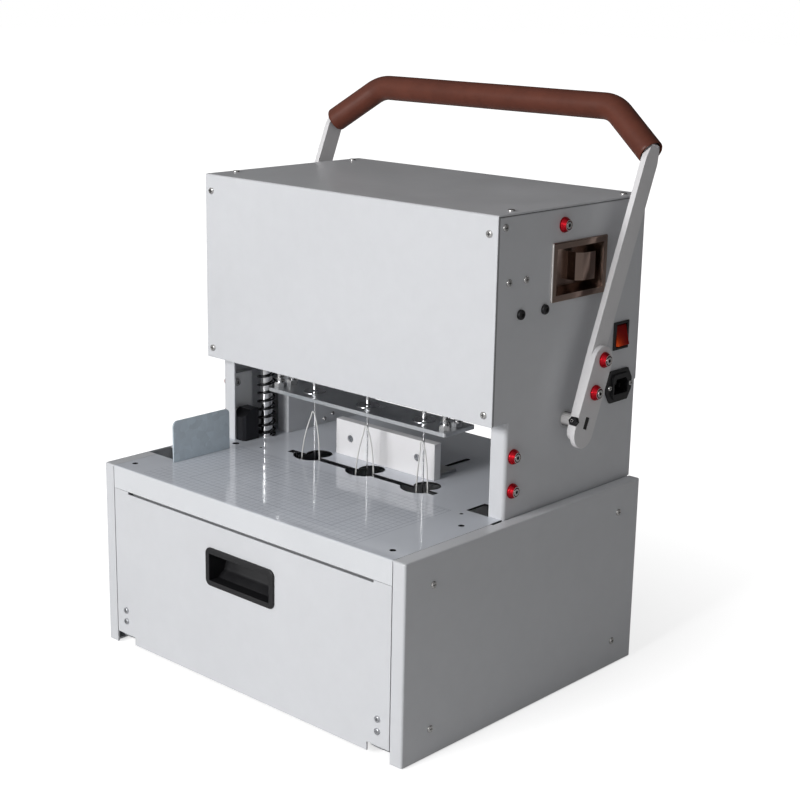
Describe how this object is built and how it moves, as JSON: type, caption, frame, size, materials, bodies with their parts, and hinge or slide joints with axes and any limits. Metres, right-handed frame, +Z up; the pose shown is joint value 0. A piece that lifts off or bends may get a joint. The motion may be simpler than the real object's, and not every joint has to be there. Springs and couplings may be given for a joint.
{
  "type": "three-hole paper binding machine",
  "caption": "Bench machine that drills paper and ties it with thread: a lever drives a belt-driven drill head down, needles rise through the table, door below.",
  "frame": {"origin": "on the surface that the machine stands on, under the middle of its whole outline, lever upright", "axes": "+X to the machine's right as its user faces it, +Y from the front door to the rear, +Z up"},
  "size_m": [0.4774, 0.386, 0.6078],
  "materials": {
    "grey_paint": "light grey powder coat, satin",
    "table_paint": "light grey, glossy, with a printed alignment grid",
    "lever_paint": "light grey powder coat",
    "zinc_steel": "zinc plated",
    "galvanised": "blue-grey galvanised sheet",
    "bright_steel": "ground bright",
    "spring_steel": "oiled spring wire",
    "dark_steel": "blackened",
    "dark_plate": "dark brushed",
    "bronzed_steel": "stainless with a warm tint",
    "mill_aluminium": "milled",
    "bushing_brass": "turned",
    "red_anodised": "red anodised",
    "black_plastic": "moulded",
    "red_plastic": "translucent red rocker",
    "brown_grip": "smooth brown foam rubber",
    "black_rubber": "matt",
    "white_thread": "twisted cotton",
    "spool_white": "moulded"
  },
  "bodies": {
    "frame": {"base_side_left": "grey_paint", "base_side_right": "grey_paint", "table_panel": "table_paint", "base_floor": "zinc_steel", "base_rear": "grey_paint", "rubber_feet": "black_rubber", "spacers": "bright_steel", "frame_screws": "bright_steel", "frame_plate_left": "grey_paint", "frame_plate_right": "grey_paint", "column_liners": "grey_paint", "front_cover": "grey_paint", "rear_cover": "grey_paint", "inner_brackets": "zinc_steel", "recess_handles": "bronzed_steel", "rocker_housing": "black_plastic", "power_inlet": "black_plastic", "black_caps": "black_plastic", "frame_collars": "red_anodised", "guide_columns": "bright_steel", "column_blocks": "dark_steel", "shaft_bearings": "dark_steel", "thread_guide_bar": "dark_steel", "spool_stand": "zinc_steel", "guide_rod": "bright_steel", "power_supply": "dark_steel", "chip_tray": "zinc_steel", "door_hinge_brackets": "zinc_steel", "column_springs": "spring_steel", "thread_left": "white_thread", "thread_middle": "white_thread", "thread_right": "white_thread"},
    "door": {"front_door": "grey_paint", "door_pull": "black_plastic", "door_hinges": "zinc_steel"},
    "rocker": {"rocker": "red_plastic"},
    "handle": {"pivot_shaft": "dark_steel", "lever_arms": "lever_paint", "hub_collars": "red_anodised", "hub_screws": "bright_steel", "grip_sleeve": "brown_grip", "sector_pinions": "dark_steel"},
    "drill_head": {"drill_head": "mill_aluminium", "head_bushes": "bushing_brass", "drive_belt": "black_rubber", "motor_body": "dark_steel", "post_springs": "spring_steel"},
    "motor_rotor": {"motor_rotor": "bright_steel"},
    "spindle_left": {"spindle_left": "bright_steel"},
    "spindle_middle": {"spindle_middle": "bright_steel"},
    "spindle_right": {"spindle_right": "bright_steel"},
    "press_plate": {"press_plate": "dark_plate", "press_posts": "bright_steel"},
    "needle_bar": {"needle_bar": "mill_aluminium", "needles": "bright_steel"},
    "thread_spools": {"thread_spools": "spool_white"},
    "backstop": {"backstop": "grey_paint", "backstop_carriage": "zinc_steel"},
    "side_guide": {"side_guide": "galvanised", "guide_carriage": "dark_steel"}
  },
  "joints": [
    {"name": "lever_turn", "type": "hinge", "parent": "frame", "child": "handle", "pos_m": [0, 0.0619, 0.292], "axis": [1, 0, 0], "range_deg": [0, 111.73]},
    {"name": "head_slide", "type": "slide", "parent": "frame", "child": "drill_head", "axis": [0, 0, 1], "range_m": [-0.078, 0], "deforming": ["column_springs"]},
    {"name": "press_slide", "type": "slide", "parent": "drill_head", "child": "press_plate", "axis": [0, 0, 1], "range_m": [0, 0.0115], "deforming": ["post_springs"]},
    {"name": "rotor_spin", "type": "hinge", "parent": "drill_head", "child": "motor_rotor", "pos_m": [0, 0.0732, 0.39], "axis": [0, 0, 1], "continuous": true},
    {"name": "spindle_left_spin", "type": "hinge", "parent": "drill_head", "child": "spindle_left", "pos_m": [-0.08, -0.0108, 0.39], "axis": [0, 0, 1], "continuous": true},
    {"name": "spindle_middle_spin", "type": "hinge", "parent": "drill_head", "child": "spindle_middle", "pos_m": [0, -0.0108, 0.39], "axis": [0, 0, 1], "continuous": true},
    {"name": "spindle_right_spin", "type": "hinge", "parent": "drill_head", "child": "spindle_right", "pos_m": [0.08, -0.0108, 0.39], "axis": [0, 0, 1], "continuous": true},
    {"name": "needle_slide", "type": "slide", "parent": "frame", "child": "needle_bar", "axis": [0, 0, 1], "range_m": [-0.073, 0], "deforming": ["thread_left", "thread_middle", "thread_right"]},
    {"name": "spool_spin", "type": "hinge", "parent": "frame", "child": "thread_spools", "pos_m": [0, -0.1088, 0.084], "axis": [1, 0, 0], "continuous": true},
    {"name": "door_hinge", "type": "hinge", "parent": "frame", "child": "door", "pos_m": [0, -0.1838, 0.0135], "axis": [1, 0, 0], "range_deg": [0, 83]},
    {"name": "rocker_tilt", "type": "hinge", "parent": "frame", "child": "rocker", "pos_m": [0.2042, 0.1517, 0.36425], "axis": [0, 1, 0], "range_deg": [0, 24.06]},
    {"name": "backstop_slide", "type": "slide", "parent": "frame", "child": "backstop", "axis": [0, 1, 0], "range_m": [0, 0.055]},
    {"name": "side_guide_slide", "type": "slide", "parent": "frame", "child": "side_guide", "axis": [1, 0, 0], "range_m": [-0.035, 0]}
  ],
  "couplings": [
    {"joint": "head_slide", "follows": "lever_turn", "m_per_rad": -0.04},
    {"joint": "press_slide", "follows": "lever_turn", "m_per_rad": 0.0058974},
    {"joint": "spindle_left_spin", "follows": "rotor_spin", "ratio": 0.75},
    {"joint": "spindle_middle_spin", "follows": "rotor_spin", "ratio": 0.75},
    {"joint": "spindle_right_spin", "follows": "rotor_spin", "ratio": 0.75}
  ]
}
